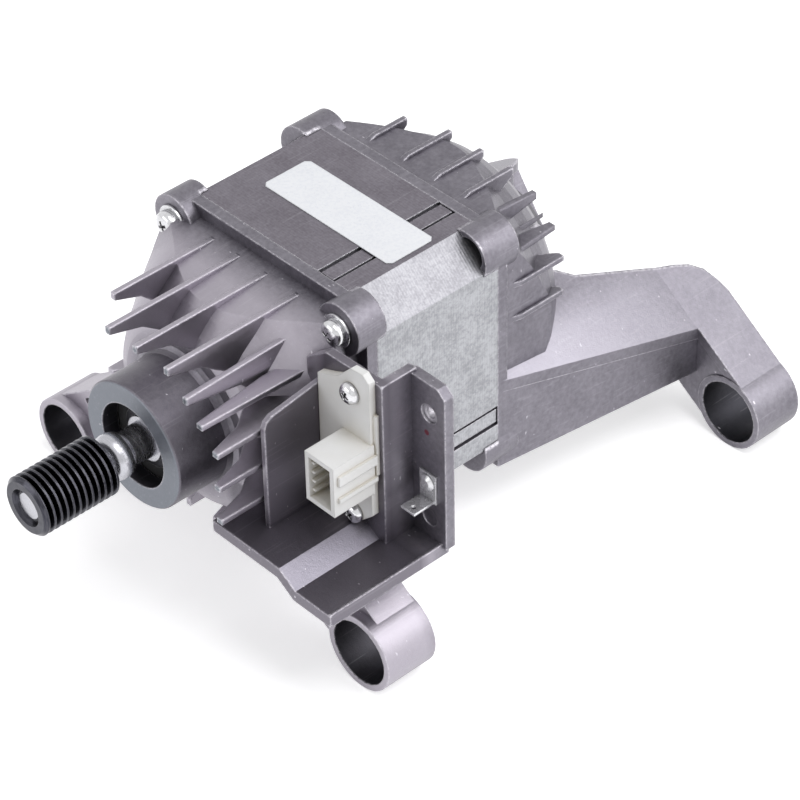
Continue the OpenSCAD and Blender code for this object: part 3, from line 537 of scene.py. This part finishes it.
def turned_piece(name, x, z, profile, sides=40):
    """A solid turned about an axis along Y: a disc at the back, drawn out to each (radius, y)."""
    radius, y = profile[0]
    bpy.ops.object.select_all(action="DESELECT")
    bpy.ops.mesh.primitive_circle_add(vertices=sides, radius=radius * MM, fill_type="NGON",
                                      location=at(x, y, z), rotation=(math.pi / 2, 0.0, 0.0))
    piece = bpy.context.object
    piece.name = name
    bpy.ops.object.transform_apply(location=True, rotation=True, scale=True)
    bpy.ops.object.mode_set(mode="EDIT")
    bpy.ops.mesh.select_all(action="SELECT")
    for next_radius, next_y in profile[1:]:
        bpy.ops.mesh.extrude_region_move(
            TRANSFORM_OT_translate={"value": (0.0, (next_y - y) * MM, 0.0)})
        ratio = next_radius / radius
        bpy.ops.transform.resize(value=(ratio, 1.0, ratio), center_override=at(x, next_y, z))
        radius, y = next_radius, next_y
    bpy.ops.mesh.select_all(action="SELECT")
    bpy.ops.mesh.remove_doubles(threshold=0.000001)
    bpy.ops.mesh.normals_make_consistent(inside=False)
    bpy.ops.object.mode_set(mode="OBJECT")
    return piece


def cut_cross(piece, x, y, z, span, width, depth, turn):
    """A cross recess, cut by two crossing bars whose inner ends taper."""
    for quarter in (0.0, math.pi / 2):
        bpy.ops.object.select_all(action="DESELECT")
        bpy.ops.mesh.primitive_cube_add(size=1.0, location=at(x, y, z),
                                        rotation=(0.0, turn + quarter, 0.0),
                                        scale=(span * MM, 2 * depth * MM, width * MM))
        bar = bpy.context.object
        bpy.ops.object.transform_apply(location=True, rotation=True, scale=True)
        bpy.ops.object.mode_set(mode="EDIT")
        bpy.ops.mesh.select_all(action="DESELECT")
        bpy.ops.object.mode_set(mode="OBJECT")
        for face in bar.data.polygons:
            face.select = face.normal.y > 0.9
        bpy.ops.object.mode_set(mode="EDIT")
        bpy.ops.transform.resize(value=(0.45, 1.0, 0.45), center_override=at(x, y + depth, z))
        bpy.ops.object.mode_set(mode="OBJECT")
        bpy.ops.object.select_all(action="DESELECT")
        bpy.context.view_layer.objects.active = piece
        piece.select_set(True)
        cut = piece.modifiers.new("recess", "BOOLEAN")
        cut.operation = "DIFFERENCE"
        cut.solver = "EXACT"
        cut.object = bar
        bpy.ops.object.modifier_apply(modifier=cut.name)
        bpy.data.objects.remove(bar, do_unlink=True)


def join_pieces(pieces, name):
    bpy.ops.object.select_all(action="DESELECT")
    for piece in pieces:
        piece.select_set(True)
    bpy.context.view_layer.objects.active = pieces[0]
    bpy.ops.object.join()
    pieces[0].name = name
    return pieces[0]


def finish_piece(piece, node, body, finish):
    """Smooths a finished piece, gives it its finish and puts it in the node's place."""
    bpy.ops.object.select_all(action="DESELECT")
    piece.select_set(True)
    bpy.context.view_layer.objects.active = piece
    bpy.ops.object.shade_smooth_by_angle(angle=math.radians(34.0))
    piece.data.materials.clear()
    piece.data.materials.append(finish)
    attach(piece, body)
    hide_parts(node)


def through_screws():
    """Four long screws with a washer face and a domed head that stands proud of its lug."""
    heads = []
    for right, up, turn in ((1, 1, 0.5), (-1, 1, 1.1), (-1, -1, 0.2), (1, -1, 0.8)):
        x, z = right * SCREW_OFFSET, up * SCREW_OFFSET
        screw = turned_piece("screw", x, z, [
            (1.6, STACK_LEN + 5.0), (2.0, STACK_LEN + 4.4), (2.0, -5.02), (4.9, -5.02),
            (4.9, -8.04), (5.6, -8.04), (5.7, -8.5), (5.5, -9.0), (4.3, -9.1), (4.3, -10.8),
            (4.1, -11.5), (3.5, -12.1), (2.6, -12.5), (1.5, -12.7), (0.5, -12.75)])
        cut_cross(screw, x, -12.75, z, 5.2, 1.3, 1.9, turn)
        heads.append(screw)
    finish_piece(join_pieces(heads, "through_screws"), "housing_screws", "housing", screw_zinc)


def plug_screws():
    """Two pan head screws that hold the connector to the bracket."""
    heads = []
    for z, turn in zip(PLUG_SCREW_HEIGHTS, (0.35, 1.0)):
        screw = turned_piece("screw", PLUG_SCREW_X, z, [
            (0.9, -13.5), (1.28, -14.2), (1.28, -22.02), (3.45, -22.02), (3.55, -22.4),
            (3.45, -23.2), (3.05, -24.0), (2.3, -24.5), (1.3, -24.75), (0.45, -24.8)])
        cut_cross(screw, PLUG_SCREW_X, -24.8, z, 4.4, 1.1, 1.6, turn)
        heads.append(screw)
    finish_piece(join_pieces(heads, "plug_screws"), "connector_screws", "housing", screw_zinc)


def turned_shaft():
    """The shaft with its rim and rounded collar behind the pulley."""
    shaft = turned_piece("turned_shaft", 0.0, 0.0, [
        (4.5, 97.0), (5.0, 96.5), (5.0, 84.0), (6.0, 84.0), (6.0, 72.98), (8.0, 72.98),
        (8.0, 71.0), (9.0, 70.0), (9.0, -40.98), (7.5, -40.98), (7.5, -53.6), (5.9, -53.6),
        (5.7, -57.5), (5.3, -60.6), (5.5, -61.2), (6.4, -61.9), (7.1, -62.9), (7.45, -64.2),
        (7.5, -65.6), (7.2, -67.0), (6.5, -68.1), (4.9, -69.1), (4.8, -69.7), (6.2, -70.0),
        (6.6, -70.5), (6.3, -70.9), (4.8, -70.95), (4.8, -96.4), (4.3, -96.94)], 64)
    finish_piece(shaft, "shaft", "rotor", shaft_steel)


through_screws()
plug_screws()
turned_shaft()

# Floor, light and camera

WHITE = (1.0, 1.0, 1.0, 1.0)
LAMP_AIM = (0.0, 0.0, 0.05)
PHOTO_PIXELS = 800.0
FOCAL_PIXELS = 3446.0
SENSOR_WIDTH = 36.0
CAMERA_DISTANCE = 1050.0


def studio_floor():
    bpy.ops.object.select_all(action="DESELECT")
    bpy.ops.mesh.primitive_plane_add(size=12.0, location=(0.0, 0.0, 0.0))
    floor = bpy.context.object
    floor.name = "studio_floor"
    material, s, where, surface = new_material("studio floor", Roughness=0.9)
    surface.inputs["Base Color"].default_value = (0.92, 0.92, 0.93, 1.0)
    glow = s.add("ShaderNodeEmission", {"Color": WHITE, "Strength": 0.5})
    join = s.add("ShaderNodeAddShader")
    s.feed(join.inputs[0], surface.outputs[0])
    s.feed(join.inputs[1], glow.outputs[0])
    pick = s.add("ShaderNodeMixShader")
    s.feed(pick.inputs[0], s.seen_rays())
    s.feed(pick.inputs[1], surface.outputs[0])
    s.feed(pick.inputs[2], join.outputs[0])
    output = next(n for n in s.tree.nodes if n.type == "OUTPUT_MATERIAL")
    s.feed(output.inputs["Surface"], pick.outputs[0])
    floor.data.materials.append(material)


def studio_world():
    world = bpy.data.worlds.new("studio")
    bpy.context.scene.world = world
    world.use_nodes = True
    world.node_tree.nodes.clear()
    s = Sheet(world.node_tree)
    dim = s.add("ShaderNodeBackground", {"Color": WHITE, "Strength": 0.45})
    white = s.add("ShaderNodeBackground", {"Color": WHITE, "Strength": 1.0})
    mix = s.add("ShaderNodeMixShader")
    s.feed(mix.inputs[0], s.seen_rays())
    s.feed(mix.inputs[1], dim.outputs[0])
    s.feed(mix.inputs[2], white.outputs[0])
    s.feed(s.add("ShaderNodeOutputWorld").inputs[0], mix.outputs[0])


def lamp(name, place, size, watts):
    light = bpy.data.lights.new(name, "AREA")
    light.shape = "RECTANGLE"
    light.size, light.size_y = size
    light.energy = watts
    lit = bpy.data.objects.new(name, light)
    bpy.context.scene.collection.objects.link(lit)
    lit.location = place
    lit.rotation_euler = (Vector(LAMP_AIM) - Vector(place)).to_track_quat("-Z", "Y").to_euler()


def photo_camera():
    """Camera solved from the photo: turn, tilt and roll in degrees, offsets in millimetres."""
    turn, tilt, roll = math.radians(47.9), math.radians(39.5), math.radians(-1.3)
    right = Vector((math.cos(turn), math.sin(turn), 0.0))
    up = Vector((-math.sin(turn) * math.sin(tilt), math.cos(turn) * math.sin(tilt), math.cos(tilt)))
    back = right.cross(up)
    right, up = (right * math.cos(roll) + up * math.sin(roll),
                 up * math.cos(roll) - right * math.sin(roll))
    eye = right * 36.7 - up * 12.2 + back * CAMERA_DISTANCE
    camera = bpy.data.cameras.new("photo_camera")
    camera.sensor_width = SENSOR_WIDTH
    camera.lens = SENSOR_WIDTH * FOCAL_PIXELS / PHOTO_PIXELS
    holder = bpy.data.objects.new("photo_camera", camera)
    bpy.context.scene.collection.objects.link(holder)
    turned = Matrix((right, up, back)).transposed().to_4x4()
    holder.matrix_world = Matrix.Translation(at(*eye)) @ turned
    bpy.context.scene.camera = holder


studio_floor()
studio_world()
lamp("key_lamp", (1.15, 0.95, 1.15), (1.5, 1.5), 13.5)
lamp("side_lamp", (1.6, 0.9, 0.35), (1.2, 0.7), 2.0)
lamp("front_lamp", (-0.6, -1.6, 0.7), (1.2, 0.8), 5.0)
lamp("top_lamp", (0.45, -0.05, 1.3), (0.5, 0.8), 6.5)
photo_camera()
bpy.context.scene.view_settings.view_transform = "Standard"
